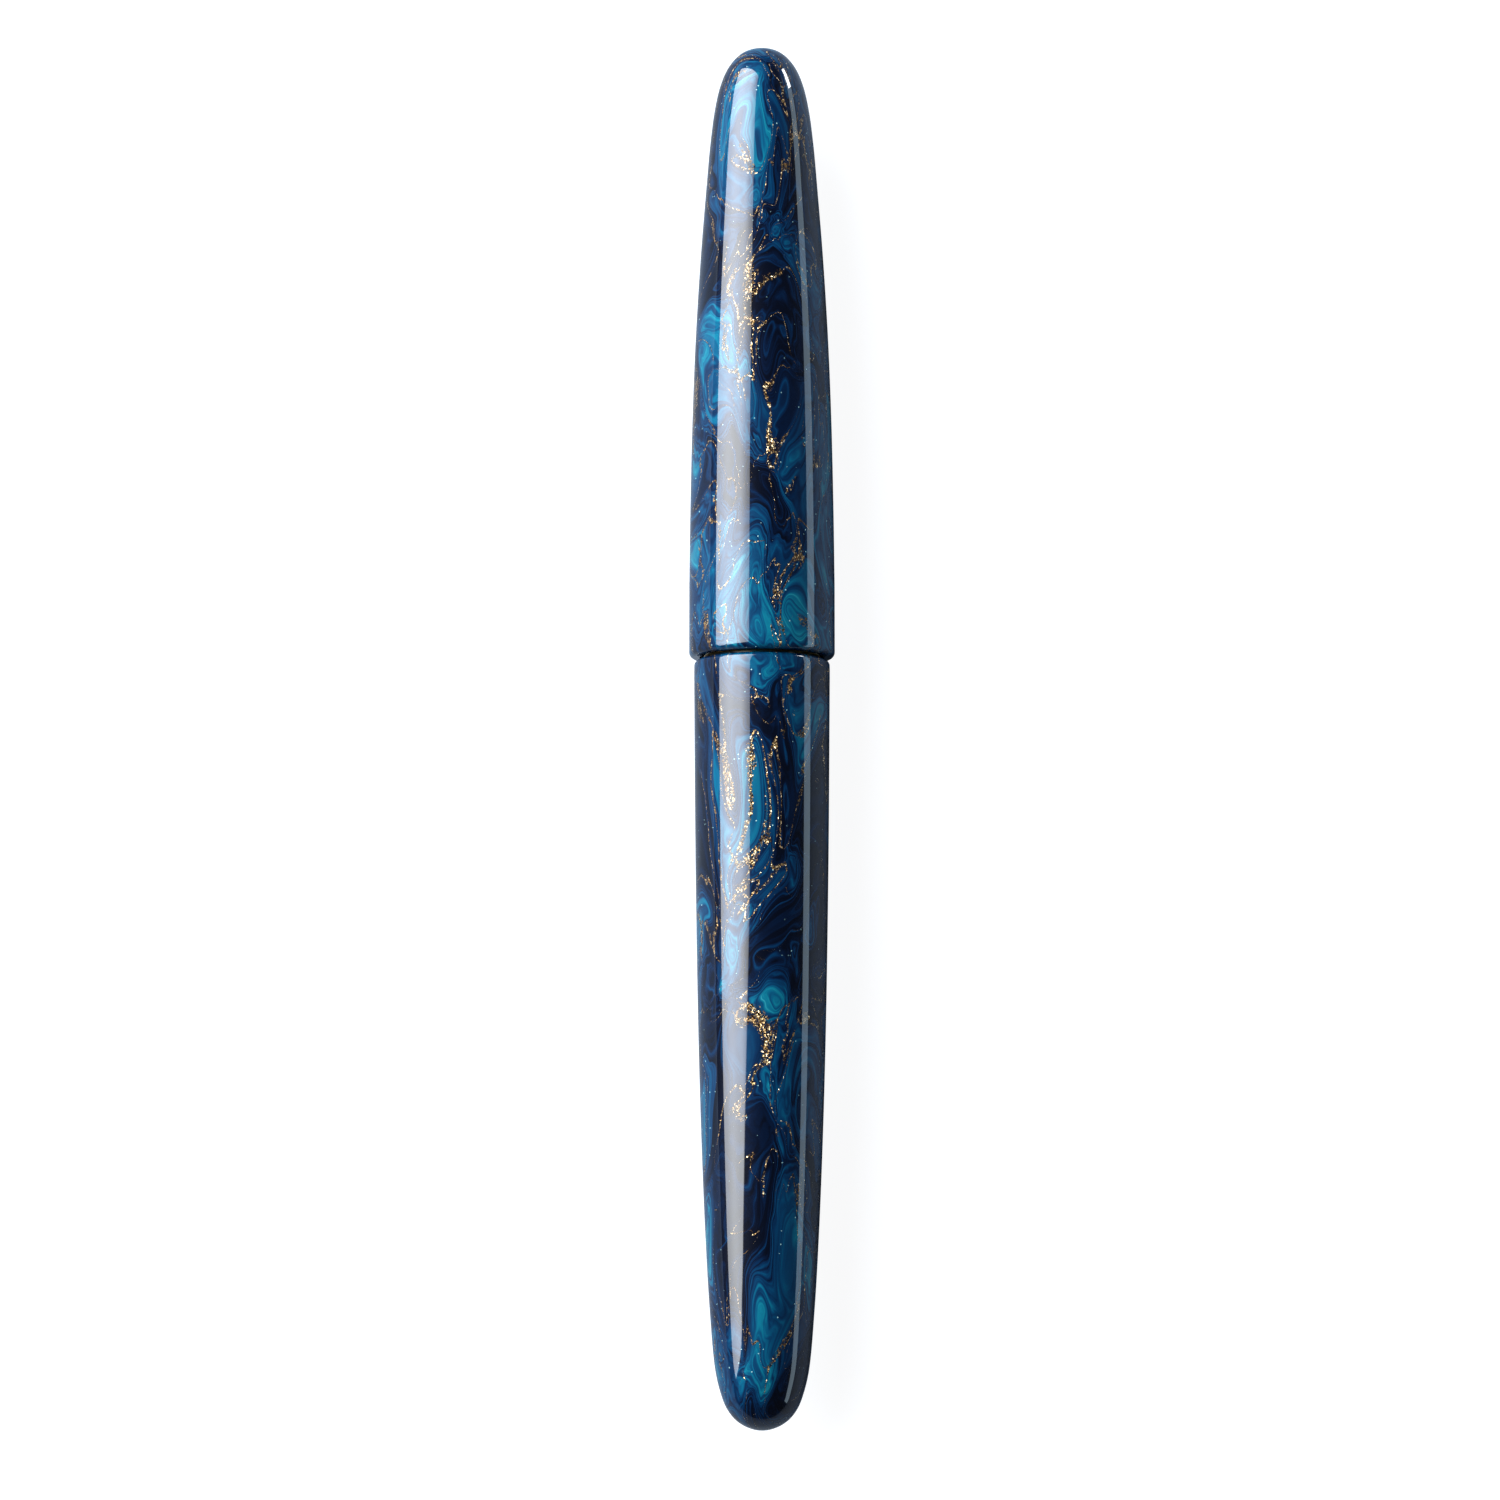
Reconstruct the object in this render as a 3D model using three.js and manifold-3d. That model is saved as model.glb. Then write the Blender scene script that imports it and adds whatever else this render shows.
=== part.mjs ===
// Screw-cap fountain pen, capped: cartridge/converter filler with a sprung
// inner cap. The pen lies along X with the cap end towards +X and +Z up.
// Every coordinate is in millimetres, and the origin is on the table plane,
// under the middle of the pen's length.
import * as THREE from 'three';
import { mergeVertices } from 'three/addons/utils/BufferGeometryUtils.js';
import Module from 'manifold-3d';

const wasm = await Module();
wasm.setup();

// ---------------------------------------------------------------- dimensions
const SIDES = 32;                 // facets round the large turned pieces
const SMALL = 24;                 // facets round the small ones
const LENGTH = 150;               // over the two domed ends
const LIP_RADIUS = 7.85;          // cap lip, measured across its flats
const SEAM_X = 7.5;               // where the cap lip meets the barrel
const SEAM_GAP = 0.3;             // air between cap lip and barrel shoulder
const AXIS_HEIGHT = LIP_RADIUS;   // the lip's lowest flat lies on the table

const CAP_LIP_X = SEAM_X + SEAM_GAP / 2;
const BARREL_MOUTH_X = SEAM_X - SEAM_GAP / 2;
const CAP_LAND_END_X = 15.4;      // end of the cylindrical land at the lip

// cap thread: three starts, one and a quarter turns to open
const CAP_STARTS = 3;
const CAP_LEAD = 2.4;
const CAP_THREAD_ROOT = 5.95;
const CAP_THREAD_CREST = 6.3;
const CAP_BORE = 6.55;
const CAP_FEMALE_CREST = 6.15;

// barrel thread on the section's tenon: one start
const BARREL_LEAD = 1.0;
const TENON_ROOT = 4.4;
const TENON_CREST = 4.75;
const TENON_NECK = 4.7;
const INSERT_BORE = 4.95;
const INSERT_CREST = 4.56;

// grip section
const COLLAR_REAR_X = 9.05;
const COLLAR_FRONT_X = 15.6;
const GRIP_FRONT_X = 34.5;
const TENON_REAR_X = -1.2;
const CONVERTER_BORE = 3.8;

// nib unit
const NIB_TIP_X = 57;
const NIB_TAIL_X = 30.5;
const NIB_SHEET = 0.36;
const NIB_RADIUS = 2.92;
const FEED_RADIUS = 2.6;

// converter
const CONV_MOUTH_X = 13.5;
const CONV_TUBE_REAR_X = -20;
const CONV_TUBE_R = 3.5;
const CONV_TUBE_BORE = 2.95;
const KNOB_REAR_X = -58.5;
const KNOB_RADIUS = 3.75;
const PISTON_LEAD = 4.0;

// ------------------------------------------------------------------ helpers
const along = (geometry) => geometry.rotateZ(-Math.PI / 2);   // lathe axis Y to X

// Revolves [axial, radius] pairs round the pen's axis. A profile that does not
// start and end on the axis is closed on itself.
function revolve(profile, sides = SIDES) {
  const pts = profile.map(([a, r]) => new THREE.Vector2(r, a));
  let area = 0;
  for (let i = 0; i < pts.length; i++) {
    const p = pts[i], q = pts[(i + 1) % pts.length];
    area += p.x * q.y - q.x * p.y;
  }
  if (area < 0) pts.reverse();
  const solidOfRevolution = pts[0].x === 0 && pts[pts.length - 1].x === 0;
  if (!solidOfRevolution) pts.push(pts[0].clone());
  return along(new THREE.LatheGeometry(pts, sides, Math.PI / sides, Math.PI * 2));
}

function bare(geometry) {
  const g = geometry.clone();
  g.deleteAttribute('normal');
  g.deleteAttribute('uv');
  return mergeVertices(g, 1e-5);
}

function solid(geometry) {
  const g = bare(geometry);
  const index = g.index.array;
  const tris = [];
  for (let i = 0; i < index.length; i += 3) {
    const [a, b, c] = [index[i], index[i + 1], index[i + 2]];
    if (a !== b && b !== c && c !== a) tris.push(a, b, c);
  }
  return new wasm.Manifold(new wasm.Mesh({
    numProp: 3,
    vertProperties: new Float32Array(g.attributes.position.array),
    triVerts: new Uint32Array(tris),
  }));
}

function shape(manifold) {
  const mesh = manifold.getMesh();
  const g = new THREE.BufferGeometry();
  g.setAttribute('position', new THREE.BufferAttribute(new Float32Array(mesh.vertProperties), 3));
  g.setIndex(new THREE.BufferAttribute(new Uint32Array(mesh.triVerts), 1));
  return g;
}

function join(base, ...tools) {
  return tools.reduce((m, t) => m.add(solid(t)), base);
}

function cut(base, ...tools) {
  return tools.reduce((m, t) => m.subtract(solid(t)), base);
}

// Moves every vertex of a box, whose own coordinates are the parameters
// (u, v, w), to a point of the finished piece.
function bend(box, place) {
  const p = box.attributes.position;
  for (let i = 0; i < p.count; i++) {
    const [x, y, z] = place(p.getX(i), p.getY(i), p.getZ(i));
    p.setXYZ(i, x, y, z);
  }
  return box;
}

// One start of a right-handed thread: a bar with a trapezoid section, wound
// round X. rBase is the buried side and rCrest the narrow one, either of which
// may be the outer.
function threadStart({ x, length, lead, phase, rBase, rCrest, wBase, wCrest, steps = 20 }) {
  const turns = length / lead;
  const n = Math.ceil(turns * steps);
  const flip = rCrest < rBase ? -1 : 1;
  const box = new THREE.BoxGeometry(1, 1, 1, n, 1, 1);
  return bend(box, (u, v, w) => {
    const t = u + 0.5;
    const run = t * turns;
    const crest = w > 0;
    // the ends run out into the surface
    const end = Math.min(1, Math.min(t, 1 - t) * turns * 8 + 0.12);
    const r = crest ? rBase + (rCrest - rBase) * end : rBase;
    const half = (crest ? wCrest : wBase) * v * flip;
    const a = phase + run * Math.PI * 2;
    return [x + run * lead + half, r * Math.sin(a), -r * Math.cos(a)];
  });
}

function thread(options) {
  const { starts = 1, lead } = options;
  const list = [];
  for (let k = 0; k < starts; k++) {
    list.push(threadStart({ ...options, phase: (options.phase ?? 0) + (k * Math.PI * 2) / starts }));
  }
  return list;
}

const box = (x0, x1, y0, y1, z0, z1) =>
  new THREE.BoxGeometry(x1 - x0, y1 - y0, z1 - z0)
    .translate((x0 + x1) / 2, (y0 + y1) / 2, (z0 + z1) / 2);

// ---------------------------------------------------------------- materials
const paint = (color, roughness, metalness, extra = {}) =>
  new THREE.MeshStandardMaterial({ color, roughness, metalness, ...extra });
const marbledResin = () => paint(0x14284a, 0.08, 0.15);
const sectionResin = () => paint(0x101f3c, 0.1, 0.1);
const ebonite = () => paint(0x0c0c0e, 0.45, 0.0);
const linerPlastic = () => paint(0x1b1c20, 0.35, 0.0);
const goldNib = () => paint(0xd9b25a, 0.18, 1.0);
const tipping = () => paint(0xb9bcc0, 0.2, 1.0);
const steel = () => paint(0xc4c7cb, 0.2, 1.0);
const brass = () => paint(0xc9a24b, 0.28, 1.0);
const clearPlastic = () => paint(0xdfe8ee, 0.06, 0.0, { transparent: true, opacity: 0.35 });
const blackPlastic = () => paint(0x151517, 0.3, 0.0);
const rubber = () => paint(0x0a0a0a, 0.75, 0.0);

// ------------------------------------------------------------ cap assembly
// Outside of the cap from lip to dome, [axial, radius].
const capOutside = [
  [CAP_LIP_X, 7.2], [7.72, 7.45], [7.88, 7.66], [8.12, 7.8], [8.4, LIP_RADIUS],
  [CAP_LAND_END_X, LIP_RADIUS], [24, 7.74], [34, 7.52],
  [43, 7.17], [52, 6.63], [59, 6.08],
  [64.2, 5.63], [68, 5.15], [70.6, 4.58], [72.5, 3.83],
  [73.8, 2.88], [74.5, 1.98], [74.9, 0.85], [LENGTH / 2, 0],
];
const flats = 1 / Math.cos(Math.PI / SIDES);   // radius across flats to across corners
const corner = (list) => list.map(([a, r]) => [a, r * flats]);

const capInside = [
  [66.5, 0], [66.5, 4.1], [60.2, 4.1], [60.2, 4.95], [55.5, 4.95], [50.6, 5.8], [39.2, 5.8],
  [39.2, 6.15], [16.8, 6.15], [16.8, CAP_BORE], [8.1, CAP_BORE], [CAP_LIP_X, 6.75],
];
const capBlank = solid(revolve([...corner(capOutside).reverse(), ...capInside.slice().reverse()]));
const capThread = thread({
  starts: CAP_STARTS, lead: CAP_LEAD, x: 9.3, length: 2.4, phase: Math.PI / CAP_STARTS,
  rBase: 6.82, rCrest: CAP_FEMALE_CREST, wBase: 0.5, wCrest: 0.12, steps: 12,
});
const capShell = shape(join(capBlank, ...capThread));

const innerCap = revolve([
  [58.2, 0], [58.2, 3.9], [54.0, 3.9], [48.8, 4.78], [34.8, 4.78], [34.8, 5.9], [36.4, 5.9],
  [36.4, 5.5], [49.2, 5.5], [54.2, 4.65], [59.0, 4.65], [59.0, 0],
]);

const retainer = revolve([[28.4, 5.55], [28.4, 6.0], [31.4, 6.0], [31.4, 5.55]], SIDES);

class Helix extends THREE.Curve {
  constructor(x0, length, radius, turns) {
    super();
    Object.assign(this, { x0, length, radius, turns });
  }
  getPoint(t, target = new THREE.Vector3()) {
    const a = t * this.turns * Math.PI * 2;
    return target.set(this.x0 + this.length * t, this.radius * Math.sin(a), this.radius * Math.cos(a));
  }
}
function ring(radius, sides) {
  const s = new THREE.Shape();
  for (let i = 0; i < sides; i++) {
    const a = (i / sides) * Math.PI * 2;
    if (i === 0) s.moveTo(radius * Math.cos(a), radius * Math.sin(a));
    else s.lineTo(radius * Math.cos(a), radius * Math.sin(a));
  }
  s.closePath();
  return s;
}
const SPRING_WIRE = 0.3;
const spring = new THREE.ExtrudeGeometry(ring(SPRING_WIRE, 5), {
  steps: 54, bevelEnabled: false, extrudePath: new Helix(59.55, 5.35, 3.3, 4.5),
});
const springSeat = revolve([[65.35, 2.0], [65.35, 3.9], [66.1, 3.9], [66.1, 2.0]], SMALL);

// --------------------------------------------------------- barrel assembly
const barrelOutside = [
  [-LENGTH / 2, 0], [-74.9, 0.85], [-74.5, 1.92], [-73.8, 2.9],
  [-72.6, 3.8], [-71.0, 4.42], [-68.6, 4.98], [-62, 5.59],
  [-54, 6.06], [-44, 6.48], [-32, 6.83],
  [-14, 7.14], [5.6, 7.31], [6.75, 7.3], [7.15, 7.14], [BARREL_MOUTH_X, 6.75],
];
const barrelInside = [
  [BARREL_MOUTH_X, 5.85], [-2.1, 5.85], [-2.1, 5.1], [-40, 5.1], [-46, 4.3],
  [-65.8, 4.3], [-66.4, 3.4], [-66.4, 0],
];
const barrelShell = revolve([...corner(barrelOutside), ...barrelInside]);

const insertBlank = solid(revolve([[-1.8, INSERT_BORE], [-1.8, 5.7], [5.8, 5.7], [5.8, INSERT_BORE]], SMALL));
const insert = shape(join(insertBlank, ...thread({
  lead: BARREL_LEAD, x: -1.1, length: 3.2, phase: Math.PI,
  rBase: 5.12, rCrest: INSERT_CREST, wBase: 0.56, wCrest: 0.12, steps: 12,
})));

const oRing = revolve(Array.from({ length: 8 }, (_, i) => {
  const a = ((i + 0.5) / 8) * Math.PI * 2;
  return [6.5 + 0.37 * Math.cos(a), 5.32 + 0.37 * Math.sin(a)];
}), SMALL);
const jointRing = revolve([
  [7.65, 4.9], [7.65, 6.1], [7.8, 6.3], [8.6, 6.3], [8.75, 6.1], [8.75, 4.9],
], SIDES);

// -------------------------------------------------------------- section
const sectionBlank = solid(revolve([
  [TENON_REAR_X, CONVERTER_BORE], [TENON_REAR_X, 4.2], [-0.9, TENON_ROOT], [5.2, TENON_ROOT],
  [5.4, TENON_NECK], [COLLAR_REAR_X, TENON_NECK], [COLLAR_REAR_X, 5.9], [9.2, CAP_THREAD_ROOT],
  [15.3, CAP_THREAD_ROOT], [COLLAR_FRONT_X, 5.75], [16.3, 5.4], [20, 5.2],
  [24.5, 4.9], [29, 4.72], [31.8, 4.82], [33.6, 5.1], [34.2, 5.1],
  [GRIP_FRONT_X, 4.9], [GRIP_FRONT_X, 3.9], [19.9, 3.9], [19.9, 3.3], [15.3, 3.3],
  [15.3, CONVERTER_BORE],
], SMALL));
const section = shape(join(
  sectionBlank,
  ...thread({
    starts: CAP_STARTS, lead: CAP_LEAD, x: 9.6, length: 3.6, phase: (0.3 / CAP_LEAD) * Math.PI * 2,
    rBase: 5.75, rCrest: CAP_THREAD_CREST, wBase: 0.5, wCrest: 0.12, steps: 12,
  }),
  ...thread({
    lead: BARREL_LEAD, x: -0.6, length: 4.2, phase: (0.5 / BARREL_LEAD) * Math.PI * 2,
    rBase: 4.22, rCrest: TENON_CREST, wBase: 0.56, wCrest: 0.12, steps: 12,
  }),
));

const housing = revolve([
  [9.2, 1.25], [9.2, 1.8], [9.5, 1.95], [14.7, 1.95], [14.7, 3.1], [20.3, 3.1], [20.3, 3.7],
  [34.8, 3.7], [34.8, 4.25], [35.5, 4.25], [35.8, 4.0], [35.8, 3.17], [21.5, 3.17], [21.5, 1.25],
], SMALL);

// Feed: a turned rod with a tail tube, fin slots from below, a flat-topped
// snout and an ink channel along its top.
const FINS = 8, FIN_X = 37.4, FIN_PITCH = 1.15, FIN_SLOT = 0.6;
const feedBlank = solid(revolve([
  [11, 0], [11, 1.05], [21.8, 1.05], [21.8, FEED_RADIUS], [47.2, FEED_RADIUS], [49.4, 2.2],
  [52.4, 1.45], [54.0, 0.8], [54.4, 0],
], 16));
const feedSlots = Array.from({ length: FINS }, (_, i) => {
  const x = FIN_X + i * FIN_PITCH;
  return shape(solid(revolve([[x, 1.55], [x, 3.4], [x + FIN_SLOT, 3.4], [x + FIN_SLOT, 1.55]], 16))
    .intersect(solid(box(x - 1, x + 2, -5, 5, -5, 0.9))));
});
const snoutTop = box(44, 60, -4, 4, 0, 4).rotateY(THREE.MathUtils.degToRad(11.5)).translate(-0.4, 0, 11.4);
const channel = box(10, 56, -0.2, 0.2, 0.3, 4);
const feed = shape(cut(feedBlank, ...feedSlots, snoutTop, channel));

// Nib: a sheet rolled to the feed's round at its tail, opening out to the
// shoulders and closing to the point.
function lerpTable(table, x) {
  if (x <= table[0][0]) return table[0][1];
  for (let i = 1; i < table.length; i++) {
    const [x1, y1] = table[i], [x0, y0] = table[i - 1];
    if (x <= x1) {
      const t = (x - x0) / (x1 - x0);
      return y0 + (y1 - y0) * t;
    }
  }
  return table[table.length - 1][1];
}
const nibStations = [30.5, 37.4, 39, 40.4, 41.8, 43, 43.8, 44.6, 45.6, 47, 48.5, 50, 51.5, 53, 54.5, 55.8, 57];
const nibHalfWidth = [
  [30.5, 3.5], [37.4, 3.5], [39, 3.66], [40.4, 3.98], [41.8, 4.38], [43, 4.7], [43.8, 4.82],
  [44.6, 4.78], [45.6, 4.5], [47, 3.92], [48.5, 3.3], [50, 2.74], [51.5, 2.2], [53, 1.68],
  [54.5, 1.18], [55.8, 0.78], [57, 0.42],
];
const nibRoll = [[30.5, NIB_RADIUS], [37.4, NIB_RADIUS], [40, 3.3], [44, 4.7], [48, 5.4], [57, 6.4]];
const nibCrown = [[30.5, NIB_RADIUS], [45, NIB_RADIUS], [49, 2.74], [53, 2.4], [57, 1.95]];
const nibGrid = new THREE.BoxGeometry(1, 1, 1, nibStations.length - 1, 12, 1);
bend(nibGrid, (u, v, w) => {
  const x = nibStations[Math.round((u + 0.5) * (nibStations.length - 1))];
  const R = lerpTable(nibRoll, x), crown = lerpTable(nibCrown, x), half = lerpTable(nibHalfWidth, x);
  const a = (2 * v * half) / R;
  const r = R + w * NIB_SHEET;
  return [x, r * Math.sin(a), crown - R + r * Math.cos(a)];
});
const breather = new THREE.CylinderGeometry(0.85, 0.85, 6, 16).rotateX(Math.PI / 2).translate(46.4, 0, 3);
const slit = box(46.4, 58, -0.07, 0.07, 0, 5);
const nibSolid = solid(nibGrid);
const nib = shape(cut(nibSolid, breather, slit));

function tippingHalf(side) {
  const ball = solid(new THREE.SphereGeometry(0.5, 12, 10).scale(0.95, 1.05, 0.95).translate(57.42, 0, 1.83));
  const near = side > 0 ? box(57.03, 58.2, 0.07, 1, 0, 3) : box(57.03, 58.2, -1, -0.07, 0, 3);
  return shape(ball.intersect(solid(near)));
}

// ------------------------------------------------------------- converter
const converterTube = revolve([
  [CONV_TUBE_REAR_X, CONV_TUBE_BORE], [CONV_TUBE_REAR_X, CONV_TUBE_R], [12.9, CONV_TUBE_R],
  [CONV_MOUTH_X, 3.1], [CONV_MOUTH_X, 2.12], [8.7, 2.12], [7.9, CONV_TUBE_BORE],
], SMALL);
const converterCollar = revolve([
  [-37.6, 3.63], [-37.6, 3.85], [-37.3, 3.98], [-11.8, 3.98], [-11.5, 3.85], [-11.5, 3.63],
], SMALL);

// The rod is threaded and carries two flats; the guide's hole is its outline
// with clearance, so the rod can slide and cannot turn.
const rodFlat = 1.15;
const guideHole = solid(revolve([[-24, 0], [-24, 1.75], [-19, 1.75], [-19, 0]], SMALL))
  .intersect(solid(box(-25, -18, -3, 3, -rodFlat - 0.12, rodFlat + 0.12)));
const guide = shape(solid(revolve([[-23.3, 0], [-23.3, 3.45], [-20.25, 3.45], [-20.25, 0]], SMALL))
  .subtract(guideHole));

const rodBlank = solid(revolve([[-50, 0], [-50, 1.1], [-19.6, 1.1], [-19.6, 0]], 12));
const rodThreaded = join(rodBlank, ...thread({
  lead: PISTON_LEAD, x: -49.4, length: 28, phase: 0,
  rBase: 0.9, rCrest: 1.55, wBase: 1.4, wCrest: 0.6, steps: 8,
})).intersect(solid(box(-51, -18, -3, 3, -rodFlat, rodFlat)));
const piston = rodThreaded
  .add(solid(revolve([[-19.9, 0], [-19.9, 2.6], [-19.3, 2.6], [-19.3, 1.6], [-17.2, 1.6], [-17.2, 2.2],
    [-16.8, 2.2], [-16.5, 1.9], [-16.5, 0]], SMALL)));
const pistonRod = shape(piston);
const pistonSeal = revolve([
  [-19.1, 1.75], [-19.1, 2.86], [-18.7, 2.86], [-18.5, 2.55], [-17.9, 2.55], [-17.7, 2.86],
  [-17.35, 2.86], [-17.35, 2.35], [-17.45, 1.75],
], SMALL);

const knobShape = new THREE.Shape();
for (let i = 0; i < 40; i++) {
  const a = (i / 40) * Math.PI * 2, r = i % 2 ? KNOB_RADIUS : KNOB_RADIUS - 0.25;
  if (i === 0) knobShape.moveTo(r * Math.cos(a), r * Math.sin(a));
  else knobShape.lineTo(r * Math.cos(a), r * Math.sin(a));
}
knobShape.closePath();
const knobRibs = new THREE.ExtrudeGeometry(knobShape, { depth: 15, bevelEnabled: false, steps: 1 })
  .rotateY(Math.PI / 2).translate(-56, 0, 0);
const knobSleeve = revolve([
  [KNOB_REAR_X, 0], [KNOB_REAR_X, 2.9], [-58, 3.5], [-38.2, 3.5], [-38.2, 3.4], [-23.6, 3.4],
  [-23.6, 0],
], SMALL);
const knobBore = revolve([
  [-57.3, 0], [-57.3, 1.9], [-23, 1.9], [-23, 0],
], SMALL);
const knobBody = cut(join(solid(knobSleeve), knobRibs), knobBore);
const knob = shape(join(knobBody, ...thread({
  lead: PISTON_LEAD, x: -29, length: 5, phase: Math.PI + ((-29 + 49.4) / PISTON_LEAD) * Math.PI * 2,
  rBase: 2.1, rCrest: 1.35, wBase: 1.3, wCrest: 0.5, steps: 12,
})));

// --------------------------------------------------------------- assembly
function piece(name, geometry, material) {
  const mesh = new THREE.Mesh(geometry, material);
  mesh.name = name;
  return mesh;
}

const cap = new THREE.Group();
cap.add(
  piece('cap_shell', capShell, marbledResin()),
  piece('inner_cap', innerCap, linerPlastic()),
  piece('inner_cap_retainer', retainer, steel()),
  piece('inner_cap_spring', spring, steel()),
  piece('spring_seat', springSeat, steel()),
);

const barrel = new THREE.Group();
barrel.add(
  piece('barrel_shell', barrelShell, marbledResin()),
  piece('barrel_thread_insert', insert, brass()),
  piece('barrel_o_ring', oRing, rubber()),
  piece('joint_ring', jointRing, brass()),
);

const sectionGroup = new THREE.Group();
sectionGroup.add(
  piece('grip_section', section, sectionResin()),
  piece('nib_housing', housing, blackPlastic()),
  piece('feed', feed, ebonite()),
  piece('nib', nib, goldNib()),
  piece('nib_tipping_left', tippingHalf(1), tipping()),
  piece('nib_tipping_right', tippingHalf(-1), tipping()),
);

const converter = new THREE.Group();
converter.add(
  piece('converter_tube', converterTube, clearPlastic()),
  piece('converter_collar', converterCollar, steel()),
  piece('converter_guide', guide, blackPlastic()),
  piece('converter_knob', knob, blackPlastic()),
  piece('piston_rod', pistonRod, blackPlastic()),
  piece('piston_seal', pistonSeal, rubber()),
);

const pen = new THREE.Group();
pen.add(cap, barrel, sectionGroup, converter);
pen.position.set(0, 0, AXIS_HEIGHT);

export default pen;
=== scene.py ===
import math

import bmesh
import bpy
import numpy as np
from mathutils import Matrix, Vector


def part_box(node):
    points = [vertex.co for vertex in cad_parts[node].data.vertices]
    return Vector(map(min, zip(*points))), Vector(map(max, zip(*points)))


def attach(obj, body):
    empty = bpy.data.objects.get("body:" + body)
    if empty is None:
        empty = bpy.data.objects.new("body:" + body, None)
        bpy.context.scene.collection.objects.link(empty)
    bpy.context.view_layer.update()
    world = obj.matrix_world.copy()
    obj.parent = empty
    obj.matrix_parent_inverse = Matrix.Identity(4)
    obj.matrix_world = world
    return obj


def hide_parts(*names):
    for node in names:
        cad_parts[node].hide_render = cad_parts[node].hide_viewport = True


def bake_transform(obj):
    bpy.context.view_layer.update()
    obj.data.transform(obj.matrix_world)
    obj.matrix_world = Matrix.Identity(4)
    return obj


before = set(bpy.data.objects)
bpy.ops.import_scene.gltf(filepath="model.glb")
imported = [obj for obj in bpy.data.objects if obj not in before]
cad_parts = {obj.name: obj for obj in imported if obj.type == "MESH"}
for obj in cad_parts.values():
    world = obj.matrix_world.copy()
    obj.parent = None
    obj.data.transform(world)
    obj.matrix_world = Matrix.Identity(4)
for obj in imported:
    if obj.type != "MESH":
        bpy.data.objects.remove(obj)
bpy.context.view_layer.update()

MM = 0.001
AXIS_Z = (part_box("cap_shell")[0].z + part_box("cap_shell")[1].z) / 2 / MM   # height of the pen's axis, mm
TAU = 2 * math.pi
scene = bpy.context.scene


# ================================================================= camera
# Looks down on the pen lying along X, cap end up the picture.
TILT = math.radians(7.5)
AIM = Vector((-2.335, 1.29, AXIS_Z))
DISTANCE = 600.0
back = Vector((-math.sin(TILT), 0, math.cos(TILT)))
up = Vector((math.cos(TILT), 0, math.sin(TILT)))
right = up.cross(back)
cam_data = bpy.data.cameras.new("camera")
cam_data.lens = 133.9
cam_data.sensor_width = 36
cam_data.clip_start = 0.01
cam_data.clip_end = 20
cam = bpy.data.objects.new("camera", cam_data)
scene.collection.objects.link(cam)
where = (AIM + back * DISTANCE) * MM
cam.matrix_world = Matrix((
    (right.x, up.x, back.x, where.x),
    (right.y, up.y, back.y, where.y),
    (right.z, up.z, back.z, where.z),
    (0, 0, 0, 1)))
scene.camera = cam
scene.view_settings.view_transform = "Standard"
scene.view_settings.look = "None"


# =========================================================== mesh helpers
def catmull(points, per=8, start_pole=False, end_pole=False):
    """A smooth curve through points; at a pole the curve meets the axis square."""
    p = [np.array(q, float) for q in points]
    if start_pole:
        p = [np.array((p[1][0], -p[1][1]))] + p
    else:
        p = [2 * p[0] - p[1]] + p
    if end_pole:
        p = p + [np.array((p[-2][0], -p[-2][1]))]
    else:
        p = p + [2 * p[-1] - p[-2]]
    out = []
    for i in range(1, len(p) - 2):
        a, b, c, d = p[i - 1:i + 3]
        t0 = 0.0
        t1 = t0 + math.sqrt(np.linalg.norm(b - a))
        t2 = t1 + math.sqrt(np.linalg.norm(c - b))
        t3 = t2 + math.sqrt(np.linalg.norm(d - c))
        for k in range(per):
            t = t1 + (t2 - t1) * k / per
            a1 = (t1 - t) / (t1 - t0) * a + (t - t0) / (t1 - t0) * b
            a2 = (t2 - t) / (t2 - t1) * b + (t - t1) / (t2 - t1) * c
            a3 = (t3 - t) / (t3 - t2) * c + (t - t2) / (t3 - t2) * d
            b1 = (t2 - t) / (t2 - t0) * a1 + (t - t0) / (t2 - t0) * a2
            b2 = (t3 - t) / (t3 - t1) * a2 + (t - t1) / (t3 - t1) * a3
            q = (t2 - t) / (t2 - t1) * b1 + (t - t1) / (t2 - t1) * b2
            out.append((float(q[0]), float(q[1])))
    out.append(tuple(float(v) for v in p[-2]))
    if start_pole:
        out[0] = (out[0][0], 0.0)
    if end_pole:
        out[-1] = (out[-1][0], 0.0)
    return out


def rounded(profile, radius, closed=True, steps=4):
    """Breaks each corner of a profile with a small round, as a turned or moulded edge has."""
    n = len(profile)
    out = []
    for i, (x, r) in enumerate(profile):
        here = np.array((x, r), float)
        if not closed and i in (0, n - 1):
            out.append((x, r))
            continue
        if r <= 1e-9:
            out.append((x, 0.0))
            continue
        a = np.array(profile[i - 1], float) - here
        b = np.array(profile[(i + 1) % n], float) - here
        la, lb = np.linalg.norm(a), np.linalg.norm(b)
        if la < 1e-9 or lb < 1e-9:
            continue
        turn = math.degrees(math.acos(max(-1.0, min(1.0, float(np.dot(-a / la, b / lb))))))
        if turn < 14:
            out.append((x, r))
            continue
        cut = min(radius, 0.42 * la, 0.42 * lb)
        p0, p2 = here + a / la * cut, here + b / lb * cut
        for k in range(steps + 1):
            t = k / steps
            q = (1 - t) ** 2 * p0 + 2 * t * (1 - t) * here + t * t * p2
            out.append((float(q[0]), float(q[1])))
    return out


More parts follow.
